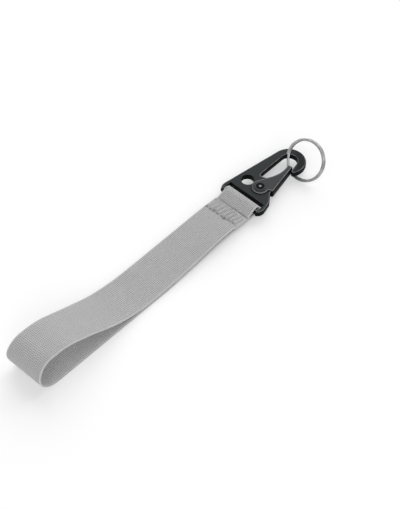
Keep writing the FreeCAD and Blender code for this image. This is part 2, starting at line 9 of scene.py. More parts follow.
import bpy
import numpy as np
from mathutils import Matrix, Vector


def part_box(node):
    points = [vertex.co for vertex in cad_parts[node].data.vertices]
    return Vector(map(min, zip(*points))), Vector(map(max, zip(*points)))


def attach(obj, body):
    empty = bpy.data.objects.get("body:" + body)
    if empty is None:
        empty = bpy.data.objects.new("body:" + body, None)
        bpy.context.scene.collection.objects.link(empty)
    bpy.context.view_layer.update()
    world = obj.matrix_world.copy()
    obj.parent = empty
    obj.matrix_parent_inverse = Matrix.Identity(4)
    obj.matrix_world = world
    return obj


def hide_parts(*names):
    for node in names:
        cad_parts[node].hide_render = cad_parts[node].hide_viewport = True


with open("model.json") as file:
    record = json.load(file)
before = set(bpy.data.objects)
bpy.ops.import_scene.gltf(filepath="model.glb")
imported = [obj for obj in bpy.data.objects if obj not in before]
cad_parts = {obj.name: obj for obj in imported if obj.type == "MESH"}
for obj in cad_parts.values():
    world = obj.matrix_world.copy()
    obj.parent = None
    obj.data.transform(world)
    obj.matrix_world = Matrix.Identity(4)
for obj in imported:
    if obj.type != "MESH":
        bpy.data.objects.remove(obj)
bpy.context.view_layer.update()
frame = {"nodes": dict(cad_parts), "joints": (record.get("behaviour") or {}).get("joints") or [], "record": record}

bl_info = {
    "name": "Belt key clip",
    "version": (1, 0, 0),
    "blender": (4, 5, 0),
    "location": "View3D > Sidebar > Key clip",
    "description": "Dresses the solids of a webbing key clip with a snap hook and a split ring",
    "category": "Object",
}

MM = 0.001

# What the frame gives: the strap's box, and the places that the joints turn about
STRAP_LOW, STRAP_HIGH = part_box("webbing_strap")
JOINT_PLACES = {joint["name"]: Vector(joint["pos_m"]) for joint in frame["joints"]}
MOUNTS = {mount["name"]: mount for mount in frame["record"]["mounts"]}
BAR = JOINT_PLACES["hook_swing"]
RIVET = JOINT_PLACES["gate_hinge"]
EYE = Vector(MOUNTS["hook_eye"]["pos_m"])
BACK_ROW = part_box("needle_thread_back")
FRONT_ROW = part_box("needle_thread_front")

# How the worn strap lifts at its near and far edges: (place along it, lift) in millimetres
NEAR_LIFT = (
    (-38, 1.4), (-12, 1.1), (-3, 0), (17, -0.1), (30, 0.3), (58, 0.7), (80, 1.6), (94, 1.6), (104, 0),
)
FAR_LIFT = (
    (-38, -1.2), (-18, -1.1), (0, -0.3), (15, 1.4), (33, 2.2), (48, 2.1), (75, 0.5), (90, 0),
)
# How far on each side the corners of these two lines are eased, and in how many steps
LIFT_EASE = 8 * MM
EASE_STEPS = 21
# Places, counted from the loop's end, between which the loop's skew fades out
SKEW_FADE = (-6 * MM, 24 * MM)
# Between these places along the strap the lower layer's edge turns from the colour of its faces to the pale edge
# colour
LOWER_PALE_EDGE = (60 * MM, 85 * MM)
# Between these distances from the strip's upper end the painted highlight on its cut edge fades out, and how
# strong that painted highlight is
CUT_EDGE = (0.5 * MM, 1.1 * MM)
CUT_HIGHLIGHT = 0.5
# The painted shade in the crease on the tab turns from faint to dark over this reach on both sides of the middle,
# and how dark it is at most
CREASE_REACH = 4 * MM
CREASE_SHADE = 0.7
# How far out in the strip's thickness its outer face begins, from -1 inside to 1 outside
OUTER_FACE = 0.9

# Mesh steps: along a rib, round the strip's section and its round edge, along and round a stitch
RIB_STEPS = 3
SECTION_POINTS = 74
EDGE_STEPS = 6
ARCH_STEPS = 10
THREAD_SIDES = 8

# The seam's seed, how hard its back and front row pull the webbing in, and the share of that
# pull between the holes
SEAM_SEED = 5
ROW_PULL = (1.0, 0.4)
ROW_DENT = 0.25
# How the stitch holes vary: their stray in the thread's wander, their depth and their reach
HOLE_STRAY = 3
HOLE_DEPTH = (0.7, 1.0)
HOLE_REACH = (0.8, 1.5)
# Lengths over which the seam's folds come up behind the back row and go down at the front row, the length over
# which the painted shade in their valleys comes in, and how dark that painted shade is, from least to most
FOLD_FADE = (4 * MM, 2 * MM)
VALLEY_SHADE_FADE = 1 * MM
VALLEY_SHADE = (0.1, 0.45)

# The cloth: grain of its tone, of its fuzz and of where its weave shows, and depth of the weave
TONE_GRAIN = 6 * MM
FUZZ_GRAIN = 0.45 * MM
WEAVE_GRAIN = 3 * MM
WEAVE_DEPTH = 0.18 * MM
# How strongly ribs, crossings and yarns stand out of the cloth, how strongly they shade it, the mean of that
# shade, and what base, fuzz, tone and the painted shade of the puckers give to the shade
RIB_RELIEF, CROSS_RELIEF, YARN_RELIEF = 0.4, 0.2, 0.4
RIB_SHADE, CROSS_SHADE, YARN_SHADE = 0.4, 0.3, 0.36
MEAN_SHADE = (RIB_SHADE + CROSS_SHADE + YARN_SHADE) / 2
BASE_SHADE, FUZZ_SHADE, TONE_SHADE, PUCKER_PAINTED_SHADE = 0.62, 0.7, 0.08, 0.9
# The thread's twist: its pitch in thread radii, and its slant
TWIST_PITCH = 1.5
TWIST_SLANT = 0.6

# The coating: grain of its patches, depth of its grain, how level the faces stand that keep the coating's colour
# while steeper walls get painted shade, how level its rims stand, the noise at which a rim is worn paler with a
# painted highlight, and the coating's gloss
PATCH_GRAIN = 5 * MM
COATING_DEPTH = 0.02 * MM
FLAT_FROM = (0.80, 0.97)
RIM_FROM = (0.80, 0.90)
RIM_TO = (0.95, 0.995)
RUB_AND_HIGHLIGHT_FROM = (0.30, 0.60)
COATING_GLOSS = 0.06
# Level direction in which painted shade darkens the bow's coating, towards the nose, and from where to where
NOSE_WAY = (0.69, -0.72)
NOSE_FADE = (1 * MM, 6 * MM)
# The rivet: blur of its zones, edges of its bright core and of the painted shade in its hollow in core radii, and
# the outer edge of that painted shade
RIVET_BLUR = 0.2 * MM
BRIGHT_TO = (0.8, 1.2)
HOLLOW_FROM = (0.9, 1.3)
HOLLOW_TO = (2.4 * MM, 2.8 * MM)
# The steel: grain and depth of its drawing lines, grain of its smears, the noise at which it is
# dull, and the roughness of each wire
LINE_GRAIN = 0.12 * MM
LINE_DEPTH = 0.01 * MM
SMEAR_GRAIN = 4 * MM
DULL_FROM = (0.35, 0.70)
SPRING_ROUGHNESS = 0.3
RING_ROUGHNESS = 0.28

# Where the two lamps shine to, and the camera's frame width in millimetres and its reach
KEY_WAY = (-0.76, -0.34, -0.55)
FILL_WAY = (0.60, 0.50, -0.62)
SENSOR_WIDTH = 36
CAMERA_REACH = (0.01, 50)


def size(name, description, default):
    """A length that a user may change."""
    return bpy.props.FloatProperty(
        name=name, description=description, default=default, unit="LENGTH", precision=5
    )


def share(name, description, default):
    """A number without a unit."""
    return bpy.props.FloatProperty(name=name, description=description, default=default, precision=3)


def colour(name, description, default):
    """A colour, in linear light."""
    return bpy.props.FloatVectorProperty(
        name=name, description=description, default=default, subtype="COLOR", min=0, max=1
    )


def angle(name, description, degrees):
    """An angle, given in degrees."""
    return bpy.props.FloatProperty(
        name=name, description=description, default=math.radians(degrees), subtype="ANGLE"
    )


class KeyClipStrap(bpy.types.PropertyGroup):
    """Sizes and colours of the webbing strap"""
    width: size("Width", "Width of the webbing", STRAP_HIGH.y - STRAP_LOW.y)
    thickness: size("Thickness", "Thickness of the webbing", 1.2 * MM)
    loop_height: size("Loop height", "Outside height of the loop end", STRAP_HIGH.z)
    rest_length: size("Resting stretch", "Length that lies flat", 77.5 * MM)
    rise_run: size("Rise", "Run in which the lower layer rises to the seam", 55 * MM)
    seam_run: size("Seam run", "From the end of the rise to the bar", 20 * MM)
    ease_radius: size("Easing", "Radius of the gentle bends", 150 * MM)
    crest_radius: size("Crest", "Radius of the upper layer's crest", 30 * MM)
    crest_run: size("Crest run", "Level stretch before the crest", 3 * MM)
    dip_radius: size("Dip", "Radius where the upper layer levels out", 75 * MM)
    dip_run: size("Dip run", "From the loop end to where the upper layer levels out", 70 * MM)
    upper_level: size("Upper level", "Height of the upper layer where it runs level", 2.0 * MM)
    upper_run: size("Upper rise", "Run in which the upper layer rises to the seam", 57 * MM)
    ply_gap: size("Ply gap", "Gap between the sewn layers", 0.15 * MM)
    wrap_radius: size("Wrap", "Radius of the webbing's middle round the bar", 2.8 * MM)
    tab_radius: size("Tab bend", "Radius where the tab dips into the seam", 2 * MM)
    tab_run: size("Tab run", "From the bar to where the tab lies flat in the seam", 8.4 * MM)
    lap_length: size("Lap", "Overlap of the strip's two ends", 10.2 * MM)
    pinch: share("Pinch", "Share of its width that the webbing loses at the bar", 0.05)
    skew: size("Skew", "How far the loop's far corner stands beyond its near corner", 1.3 * MM)
    rib_pitch: size("Rib pitch", "Distance from one crosswise rib to the next", 1.0 * MM)
    rib_height: size("Rib height", "Height of the crosswise ribs", 0.04 * MM)
    yarn_pitch: size("Yarn pitch", "Distance from one lengthwise yarn to the next", 1.05 * MM)
    # The pale band along each edge is partly the selvedge's denser weave and partly a painted highlight; this is
    # its width.
    selvedge_and_highlight: size("Selvedge", "Width of the denser woven edge", 0.7 * MM)
    pucker: size("Pucker", "Depth of the dents at the stitches", 0.35 * MM)
    # Width and place of the painted shade in the crease between the lap's end and the tab.
    crease_width: size("Crease", "Width of the dark crease between the lap's end and the tab", 0.5 * MM)
    crease_place: size("Crease place", "From the lap's end to the middle of the crease", 1.1 * MM)
    fold_height: size("Folds", "Height of the folds between the sewn rows", 0.22 * MM)
    pucker_reach: size("Pucker reach", "Reach of a dent round its stitch hole", 0.8 * MM)
    cloth: colour("Cloth", "Colour of the webbing", (0.374, 0.374, 0.376))
    # Painted light: the inner face gets a paler colour than the outer face, standing in for light that reaches
    # into the loop.
    inner: colour("Inner face", "Colour of the webbing's unworn inner face", (0.46, 0.46, 0.462))
    # Colour of the pale band along the edges: the selvedge's denser weave and a painted highlight.
    edge: colour("Edge", "Colour of the selvedge", (0.52, 0.52, 0.52))


class KeyClipStitch(bpy.types.PropertyGroup):
    """Sizes and colours of the sewn rows"""
    count: bpy.props.IntProperty(name="Stitches", description="Stitches in a row", default=8, min=1)
    pitch: size("Pitch", "Distance from stitch to stitch", 2.9 * MM)
    length: size("Length", "Length of a stitch", 2.3 * MM)
    radius: size("Thread radius", "Radius of the thread", 0.24 * MM)
    rise: size("Rise", "How far a stitch arches above its holes", 0.5 * MM)
    wander: size("Wander", "How far a stitch strays from its place", 0.12 * MM)
    thread: colour("Thread", "Colour of the thread", (0.38, 0.38, 0.382))


class KeyClipMetal(bpy.types.PropertyGroup):
    """Colours and finish of the metal pieces"""
    coating: colour("Coating", "Colour of the plate's black coating", (0.026, 0.030, 0.031))
    gate_coating: colour("Gate coating", "Colour of the gate's black coating", (0.050, 0.052, 0.054))
    # Painted shade: this near-black colour darkens the walls, the bow's side at the nose and the rivet's hollow.
    painted_shade_coating: colour("Deep coating", "Colour of the coating on the walls", (0.002, 0.002, 0.0025))
    # Painted shade on the bow's side towards the nose.
    nose_shade: share("Nose shade", "Share of the deep coating on the bow's side at the nose", 0.6)
    # Paler rims: rubbed coating, and also a painted highlight along the edges.
    worn_and_highlight: colour("Worn coating", "Colour of the coating on rubbed edges", (0.22, 0.225, 0.23))
    grain: size("Grain", "Size of the grain in the coating", 0.25 * MM)
    core: size("Rivet core", "Radius of the rivet's bright middle", 0.9 * MM)
    steel: colour("Steel", "Colour of the bright steel", (0.46, 0.46, 0.47))
    steel_dark: colour("Dull steel", "Colour of the steel in its drawing lines", (0.15, 0.15, 0.155))


class KeyClipStage(bpy.types.PropertyGroup):
    """Camera, light and floor"""
    distance: size("Distance", "From the camera to the place it looks at", 566.5 * MM)
    target_x: size("Target along", "Place that the camera looks at, along the strap", 71.55 * MM)
    target_y: size("Target across", "Place that the camera looks at, across the strap", -7.29 * MM)
    azimuth: angle("Azimuth", "Direction that the camera looks from", -46.27)
    elevation: angle("Elevation", "Height of the camera above the level", 51.59)
    lens: share("Lens", "Focal length in millimetres on a 36 mm frame", 70.73)
    floor_span: size("Floor", "Width of the floor", 12.0)
    floor: colour("Floor", "Colour of the floor", (0.94, 0.94, 0.94))
    floor_glow: share("Floor glow", "Share of plain white in what is seen of the floor", 0.3)
    key: share("Key light", "Strength of the key light", 2.45)
    key_width: angle("Key width", "Apparent width of the key light", 80)
    fill: share("Fill light", "Strength of the light from the front", 1.64)
    fill_width: angle("Fill width", "Apparent width of the light from the front", 60)
    sky: share("Sky", "Strength of the light from all round", 0.33)
    backdrop: share("Backdrop", "Brightness of the surroundings where they are seen or mirrored", 1.0)


class KeyClipSettings(bpy.types.PropertyGroup):
    """All settings of the key clip"""
    strap: bpy.props.PointerProperty(type=KeyClipStrap)
    stitch: bpy.props.PointerProperty(type=KeyClipStitch)
    metal: bpy.props.PointerProperty(type=KeyClipMetal)
    stage: bpy.props.PointerProperty(type=KeyClipStage)


# Shader maths
class Socket:
    """A shader value: sums on it add Math nodes to its graph."""

    def __init__(self, graph, socket):
        self.graph = graph
        self.socket = socket

    def __add__(self, other):
        return self.graph.math("ADD", self, other)

    def __sub__(self, other):
        return self.graph.math("SUBTRACT", self, other)

    def __rsub__(self, other):
        return self.graph.math("SUBTRACT", other, self)

    def __mul__(self, other):
        return self.graph.math("MULTIPLY", self, other)

    def __truediv__(self, other):
        return self.graph.math("DIVIDE", self, other)

    def __mod__(self, other):
        return self.graph.math("FLOORED_MODULO", self, other)

    __radd__ = __add__
    __rmul__ = __mul__


class Graph:
    """The nodes of one material or world."""

    def __init__(self, tree):
        self.tree = tree
        tree.nodes.clear()

    def node(self, kind, sockets=None, out=0, **settings):
        """Add a node, set it up, feed its sockets and give one of its outputs."""
        made = self.tree.nodes.new(kind)
        for name, setting in settings.items():
            setattr(made, name, setting)
        for name, given in (sockets or {}).items():
            if isinstance(given, Socket):
                self.tree.links.new(given.socket, made.inputs[name])
            else:
                made.inputs[name].default_value = given
        return Socket(self, made.outputs[out]) if made.outputs else None

    def math(self, operation, *terms):
        """A Math node on values or numbers."""
        return self.node("ShaderNodeMath", dict(enumerate(terms)), operation=operation)

    def mix(self, factor, first, second):
        """A colour between two colours."""
        ends = {0: factor, 6: opaque(first), 7: opaque(second)}
        return self.node("ShaderNodeMix", ends, out=2, data_type="RGBA")

    def wave(self, phase):
        """A smooth wave from 0 to 1 that repeats at each whole number."""
        return self.math("COSINE", phase * math.tau) * 0.5 + 0.5

    def between(self, place, low, high):
        """0 below the low place, 1 above the high one, and smooth between them."""
        return self.node(
            "ShaderNodeMapRange",
            {"Value": place, "From Min": low, "From Max": high},
            interpolation_type="SMOOTHSTEP",
        )

    def noise(self, place, grain, detail=2.0):
        """Noise with a grain of the given size in metres."""
        return self.node("ShaderNodeTexNoise", {"Vector": place, "Scale": 1 / grain, "Detail": detail})

    def parts(self, vector):
        """The three numbers of a vector."""
        first = self.node("ShaderNodeSeparateXYZ", {"Vector": vector})
        return [Socket(self, output) for output in first.socket.node.outputs]

    def tint(self, plain, shade):
        """A colour made lighter or darker."""
        return self.node("ShaderNodeVectorMath", {0: plain, "Scale": shade}, operation="SCALE")

    def bump(self, height, depth):
        """A relief of the given depth in metres."""
        return self.node("ShaderNodeBump", {"Height": height, "Distance": depth, "Strength": 1.0})


def opaque(given):
    """A colour with its alpha, or a socket as it is."""
    return given if isinstance(given, Socket) else (*given, 1.0)


def seen_share(graph):
    """1 for rays that see or mirror a surface, and 0 for rays that only light others."""
    rays = ("Is Camera Ray", "Is Glossy Ray", "Is Transmission Ray")
    camera, glossy, through = (graph.node("ShaderNodeLightPath", out=ray) for ray in rays)
    return graph.math("MINIMUM", camera + glossy + through, 1.0)


def new_finish(name):
    """An empty material and its graph."""
    material = bpy.data.materials.new(name)
    material.use_nodes = True
    return material, Graph(material.node_tree)


def close_finish(graph, sockets):
    """End a material in one surface shader."""
    surface = graph.node("ShaderNodeBsdfPrincipled", sockets)
    graph.node("ShaderNodeOutputMaterial", {"Surface": surface})


def webbing_finish(strap):
    """Ribbed weave that follows the strip: ribs across it, yarns along it, paler dense edges that are also a
    painted highlight, a paler inner face as painted light, and painted shade at the stitch holes, fold valleys and
    tab crease.
    """
    material, graph = new_finish("ribbed_webbing")
    weave = graph.node("ShaderNodeUVMap", uv_map="weave")
    along, across, _ = graph.parts(weave)
    yarn = across / strap.yarn_pitch
    step_aside = graph.math("FLOOR", yarn) % 2.0
    rib = graph.wave(along / strap.rib_pitch)
    cross = graph.wave(along / strap.rib_pitch + step_aside * 0.5)
    yarn_round = 1 - graph.wave(yarn)
    height = rib * RIB_RELIEF + cross * CROSS_RELIEF + yarn_round * YARN_RELIEF
    place = graph.node("ShaderNodeTexCoord", out="Object")
    mottle = graph.noise(place, TONE_GRAIN)
    fuzz = graph.noise(place, FUZZ_GRAIN)
    depth = 0.5 + graph.noise(place, WEAVE_GRAIN)
    # Painted shade: the pucker mask darkens the stitch holes and rows, the fold valleys and the tab crease.
    pucker = graph.node("ShaderNodeAttribute", out="Fac", attribute_name="pucker")
    # Mask of the pale edges, which are partly a painted highlight.
    edge = graph.node("ShaderNodeAttribute", out="Fac", attribute_name="selvedge_and_highlight")
    floats = rib * RIB_SHADE + cross * CROSS_SHADE + yarn_round * YARN_SHADE - MEAN_SHADE
    woven = BASE_SHADE + floats * depth + fuzz * FUZZ_SHADE + mottle * TONE_SHADE
    shade = (woven + edge * (1 - woven)) * (1 - pucker * PUCKER_PAINTED_SHADE)
    # Painted light: the inner face is mixed towards its paler colour.
    inner = graph.node("ShaderNodeAttribute", out="Fac", attribute_name="inner")
    plain = graph.mix(edge, graph.mix(inner, strap.cloth, strap.inner), strap.edge)
    close_finish(graph, {
        "Base Color": graph.tint(plain, shade),
        "Roughness": 0.85 + fuzz * 0.1,
        "Normal": graph.bump(height + fuzz * 0.25, WEAVE_DEPTH),
        "Sheen Weight": 0.15,
        "Sheen Roughness": 0.5,
        "Specular IOR Level": 0.25,
    })
    return material


def thread_finish(stitch):
    """Twisted sewing thread."""
    material, graph = new_finish("twisted_thread")
    place = graph.node("ShaderNodeTexCoord", out="Object")
    x, y, _ = graph.parts(place)
    twist = graph.wave((y + x * TWIST_SLANT) / (stitch.radius * TWIST_PITCH))
    fuzz = graph.noise(place, stitch.radius)
    shade = 0.75 + twist * 0.25 + fuzz * 0.15
    close_finish(graph, {
        "Base Color": graph.tint(tuple(stitch.thread), shade),
        "Roughness": 0.7 + fuzz * 0.1,
        "Normal": graph.bump(twist, stitch.radius * 0.3),
        "Specular IOR Level": 0.3,
    })
    return material


def coating_finish(metal, name, face_colour):
    """Satin black coating: grey on the flat faces, painted shade on the walls and on the bow's side at the nose,
    and worn paler along the edges, which also stands in for their highlight.
    """
    material, graph = new_finish(name)
    place = graph.node("ShaderNodeTexCoord", out="Object")
    facing = graph.node("ShaderNodeTexCoord", out="Normal")
    level = graph.math("ABSOLUTE", graph.parts(facing)[2])
    grain = graph.noise(place, metal.grain, 3.0)
    patch = graph.noise(place, PATCH_GRAIN, 4.0)
    x, y, _ = graph.parts(place)
    to_nose = (x - EYE.x) * NOSE_WAY[0] + (y - EYE.y) * NOSE_WAY[1]
    # Painted shade: the bow darkens towards the nose.
    dim = graph.between(to_nose, *NOSE_FADE) * metal.nose_shade
    flat = graph.between(level, *FLAT_FROM) * (1 - dim)
    rim = graph.between(level, *RIM_FROM) * (1 - graph.between(level, *RIM_TO))
    # Rims worn paler in patches, which is also a painted highlight.
    rubbed_and_highlit = rim * graph.between(patch * 0.7 + grain * 0.3, *RUB_AND_HIGHLIGHT_FROM)
    # Painted shade: steep walls get the near-black colour, level faces keep the coating's colour.
    plain = graph.mix(flat, metal.painted_shade_coating, face_colour)
    close_finish(graph, {
        "Base Color": graph.mix(rubbed_and_highlit, plain, metal.worn_and_highlight),
        "Roughness": 0.40 + patch * 0.12 + grain * 0.08 - rim * 0.1,
        "Coat Weight": rim * 0.6,
        "Normal": graph.bump(grain, COATING_DEPTH),
        "Specular IOR Level": COATING_GLOSS,
        "Coat Roughness": 0.25,
    })
    return material


def rivet_finish(metal):
    """Black coating on the rivet's ring, with painted shade in its hollow, rubbed through to bright steel in its
    middle.
    """
    material, graph = new_finish("rubbed_rivet")
    place = graph.node("ShaderNodeTexCoord", out="Object")
    x, y, _ = graph.parts(place)
    from_middle = graph.math("SQRT", (x - RIVET.x) * (x - RIVET.x) + (y - RIVET.y) * (y - RIVET.y))
    grain = graph.noise(place, metal.grain, 3.0)
    away = from_middle + grain * RIVET_BLUR
    bright = 1 - graph.between(away, *(metal.core * part for part in BRIGHT_TO))
    past_core = graph.between(away, *(metal.core * part for part in HOLLOW_FROM))
    # Painted shade in the rivet's hollow.
    hollow = past_core * (1 - graph.between(away, *HOLLOW_TO))
    coated_and_shaded = graph.mix(hollow, metal.gate_coating, metal.painted_shade_coating)
    close_finish(graph, {
        "Base Color": graph.mix(bright, coated_and_shaded, metal.steel_dark),
        "Metallic": bright * 0.6,
        "Roughness": 0.45 + grain * 0.1,
        "Normal": graph.bump(grain, COATING_DEPTH),
        "Specular IOR Level": COATING_GLOSS,
    })
    return material


def steel_finish(metal, name, roughness, centre, axis):
    """Plated steel wire with drawing lines that run round the given axis."""
    material, graph = new_finish(name)
    place = graph.node("ShaderNodeTexCoord", out="Object")
    spoke = graph.node("ShaderNodeVectorMath", {0: place, 1: centre}, operation="SUBTRACT")
    level = graph.node("ShaderNodeVectorMath", {0: spoke, 1: axis}, out="Value", operation="DOT_PRODUCT")
    reach = graph.node("ShaderNodeVectorMath", {0: spoke}, out="Value", operation="LENGTH")
    strand = graph.node("ShaderNodeCombineXYZ", {"X": level, "Y": reach})
    lines = graph.noise(strand, LINE_GRAIN, 3.0)
    smear = graph.noise(place, SMEAR_GRAIN)
    dull = graph.between(lines * 0.6 + smear * 0.4, *DULL_FROM)
    close_finish(graph, {
        "Base Color": graph.mix(dull, metal.steel, metal.steel_dark),
        "Metallic": 1.0,
        "Roughness": roughness + dull * 0.12,
        "Normal": graph.bump(lines, LINE_DEPTH),
    })
    return material


# Shapes that repeat or follow a line
class ShapeTree:
    """A Geometry Nodes tree with named inputs."""

    def __init__(self, name, inlets):
        self.tree = bpy.data.node_groups.new(name, "GeometryNodeTree")
        self.sockets = self.tree.interface
        for inlet, kind in inlets.items():
            self.sockets.new_socket(name=inlet, in_out="INPUT", socket_type="NodeSocket" + kind)
        self.sockets.new_socket(name="Geometry", in_out="OUTPUT", socket_type="NodeSocketGeometry")
        self.given = self.tree.nodes.new("NodeGroupInput").outputs

    def node(self, kind, sockets=None, out=0, **settings):
        """Add a node, set it up, feed its sockets and give one of its outputs."""
        made = self.tree.nodes.new(kind)
        for name, setting in settings.items():
            setattr(made, name, setting)
        for name, source in (sockets or {}).items():
            if isinstance(source, bpy.types.NodeSocket):
                self.tree.links.new(source, made.inputs[name])
            else:
                made.inputs[name].default_value = source
        return made.outputs[out]

    def math(self, operation, *terms):
        """A Math node on values or numbers."""
        return self.node("ShaderNodeMath", dict(enumerate(terms)), operation=operation)

    def close(self, shape, material):
        """End the tree in plain smooth geometry of one material."""
        solid = self.node("GeometryNodeRealizeInstances", {"Geometry": shape})
        soft = self.node("GeometryNodeSetShadeSmooth", {"Geometry": solid})
        done = self.node("GeometryNodeSetMaterial", {"Geometry": soft, "Material": material})
        self.tree.links.new(done, self.tree.nodes.new("NodeGroupOutput").inputs["Geometry"])

    def mesh(self, name, sizes, line=None):
        """The plain mesh that the tree makes with the given sizes, along a line if it needs one."""
        carrier = bpy.data.objects.new(name, line or bpy.data.meshes.new(name))
        bpy.context.scene.collection.objects.link(carrier)
        modifier = carrier.modifiers.new(self.tree.name, "NODES")
        modifier.node_group = self.tree
        for item in self.sockets.items_tree:
            if item.in_out == "INPUT" and item.name in sizes:
                modifier[item.identifier] = sizes[item.name]
        graph = bpy.context.evaluated_depsgraph_get()
        mesh = bpy.data.meshes.new_from_object(carrier.evaluated_get(graph))
        mesh.name = name
        bpy.data.objects.remove(carrier)
        return mesh


# The strap's line and its mesh
def tangent_line(nodes, pitch):
    """Evenly spaced places (x, z) along straight runs joined by arcs round the nodes.

    A node is (x, z, radius): the line turns left round it, or right where the radius is negative,
    and starts and ends at nodes of no radius.
    """
    arc_step = math.radians(1.5)
    headings = []
    for (x0, z0, r0), (x1, z1, r1) in zip(nodes, nodes[1:]):
        run = math.hypot(x1 - x0, z1 - z0)
        headings.append(math.atan2(z1 - z0, x1 - x0) - math.asin((r1 - r0) / run))
    points = [nodes[0][:2]]
    for (x, z, radius), before, after in zip(nodes[1:-1], headings, headings[1:]):
        side = math.copysign(1, radius)
        turn = side * ((side * (after - before)) % math.tau)
        for part in np.linspace(0, 1, 2 + int(abs(turn) / arc_step)):
            heading = before + turn * part
            points.append((x + math.sin(heading) * radius, z - math.cos(heading) * radius))
    points.append(nodes[-1][:2])
    points = np.array(points)
    lengths = np.hypot(*np.diff(points, axis=0).T)
    along = np.concatenate([[0], np.cumsum(lengths)])
    stations = np.linspace(0, along[-1], int(along[-1] / pitch) + 1)
    return stations, np.interp(stations, along, points[:, 0]), np.interp(stations, along, points[:, 1])


def ply_heights(strap):
    """Heights of the middles of the lower, middle and upper layers in the seam."""
    lower = BAR.z - strap.wrap_radius
    step = strap.thickness + strap.ply_gap
    return lower, lower + step, lower + 2 * step


def strap_nodes(strap):
    """The strip's line from its upper end, round the loop and the bar, to its lower end."""
    lower, middle, upper = ply_heights(strap)
    half = strap.thickness / 2
    ease = strap.ease_radius
    flat_end = strap.rest_length / 2
    rise_end = flat_end + strap.rise_run
    seam_start = BAR.x - strap.seam_run
    lap_end = BAR.x - strap.tab_run
    return [
        (lap_end, upper, 0),
        (seam_start, upper - ease, ease),
        (seam_start - strap.upper_run, strap.upper_level + ease, -ease),
        (strap.dip_run - flat_end, strap.upper_level + strap.dip_radius, -strap.dip_radius),
        (strap.crest_run - flat_end, strap.loop_height - half - strap.crest_radius, strap.crest_radius),
        (-flat_end, strap.loop_height / 2, strap.loop_height / 2 - half),
        (flat_end, half + ease, ease),
        (rise_end, lower - ease, -ease),
        (BAR.x, BAR.z, strap.wrap_radius),
        (lap_end, middle + strap.tab_radius, -strap.tab_radius),
        (lap_end - strap.lap_length, middle, 0),
    ]


def smooth(places, low, high):
    """0 below the low place, 1 above the high one, and smooth between them."""
    part = np.clip((places - low) / (high - low), 0, 1)
    return part * part * (3 - 2 * part)


def band_tree():
    """A ribbed strip with round edges, swept along a line, as a node tree with named sizes."""
    band = ShapeTree("ribbed_band", {
        "Line": "Geometry",
        "Width": "Float",
        "Thickness": "Float",
        "Edge": "Float",
        "Points": "Int",
        "Rib pitch": "Float",
        "Rib height": "Float",
        "Cloth": "Material",
    })
    given, node = band.given, band.node
    line = node("GeometryNodeMeshToCurve", {"Mesh": given["Line"]})
    level = node("GeometryNodeSetCurveNormal", {"Curve": line, "Normal": (0, 1, 0)}, mode="FREE")
    length = node("GeometryNodeSplineParameter", out="Length")
    measured = node(
        "GeometryNodeStoreNamedAttribute",
        {"Geometry": level, "Name": "station", "Value": length},
    )
    sharp = node(
        "GeometryNodeCurvePrimitiveQuadrilateral",
        {"Width": given["Width"], "Height": given["Thickness"]},
    )
    rounded = node(
        "GeometryNodeFilletCurve",
        {"Curve": sharp, "Count": EDGE_STEPS, "Radius": given["Edge"], "Limit Radius": True},
        mode="POLY",
    )
    section = node("GeometryNodeResampleCurve", {"Curve": rounded, "Count": given["Points"]})
    swept = node(
        "GeometryNodeCurveToMesh",
        {"Curve": measured, "Profile Curve": section, "Fill Caps": True},
    )
    station = node("GeometryNodeInputNamedAttribute", {"Name": "station"})
    ribs = band.math("MULTIPLY", band.math("DIVIDE", station, given["Rib pitch"]), math.tau)
    half_rib = band.math("DIVIDE", given["Rib height"], 2)
    height = band.math("MULTIPLY", band.math("COSINE", ribs), half_rib)
    out = node("GeometryNodeInputNormal")
    lift = node("ShaderNodeVectorMath", {0: out, "Scale": height}, operation="SCALE")
    ribbed = node("GeometryNodeSetPosition", {"Geometry": swept, "Offset": lift})
    band.close(ribbed, given["Cloth"])
    return band


def row_places():
    """Places along the strap of the two sewn rows."""
    return [(low.x + high.x) / 2 for low, high in (BACK_ROW, FRONT_ROW)]


def stitch_dents(strap, stitch, x, y):
    """How deep the sewn rows dent the webbing at the given places: 1 in a hole, less along a row."""
    chance = np.random.default_rng(SEAM_SEED)
    first = -stitch.count * stitch.pitch / 2 - (stitch.pitch - stitch.length) / 2
    dent = np.zeros_like(y)
    for row_x, pull in zip(row_places(), ROW_PULL):
        dent = np.maximum(dent, pull * ROW_DENT * np.exp(-((x - row_x) / strap.pucker_reach) ** 2))
        for hole in range(stitch.count + 1):
            stray_x, stray_y = chance.normal(0, stitch.wander * HOLE_STRAY, 2)
            depth = pull * chance.uniform(*HOLE_DEPTH)
            reach = strap.pucker_reach * chance.uniform(*HOLE_REACH)
            hole_y = first + stitch.pitch * hole + stray_y
            away2 = (x - row_x - stray_x) ** 2 + (y - hole_y) ** 2
            dent = np.maximum(dent, depth * np.exp(-away2 / reach ** 2))
    return dent


def seam_folds(stitch, x, y):
    """Small folds that the threads pull up round the sewn rows, one for each stitch, and painted shade in their
    valleys.
    """
    back, front = row_places()
    come, go = FOLD_FADE
    reach = smooth(x, back - come, back) * (1 - smooth(x, front - go, front))
    phase = y / stitch.pitch + 0.5 * (x - back) / (front - back)
    fold = reach * np.cos(phase * math.tau)
    strengths = np.random.default_rng(SEAM_SEED).uniform(*VALLEY_SHADE, 2 * stitch.count)
    strength = strengths[np.floor(phase).astype(int) % len(strengths)]
    # Painted shade in the fold valleys, stronger in some than in others.
    valley_shade = strength * np.clip(-fold, 0, 1) * smooth(x, back - VALLEY_SHADE_FADE, back)
    return fold, valley_shade


def eased(places, nodes, spread):
    """Heights at the given places of a line through the nodes, with its corners eased."""
    shifts = np.linspace(-spread, spread, EASE_STEPS)
    weights = 1 + np.cos(shifts / spread * math.pi)
    node_x, height = np.array(nodes).T * MM
    return np.interp(places[:, None] + shifts, node_x, height) @ weights / weights.sum()


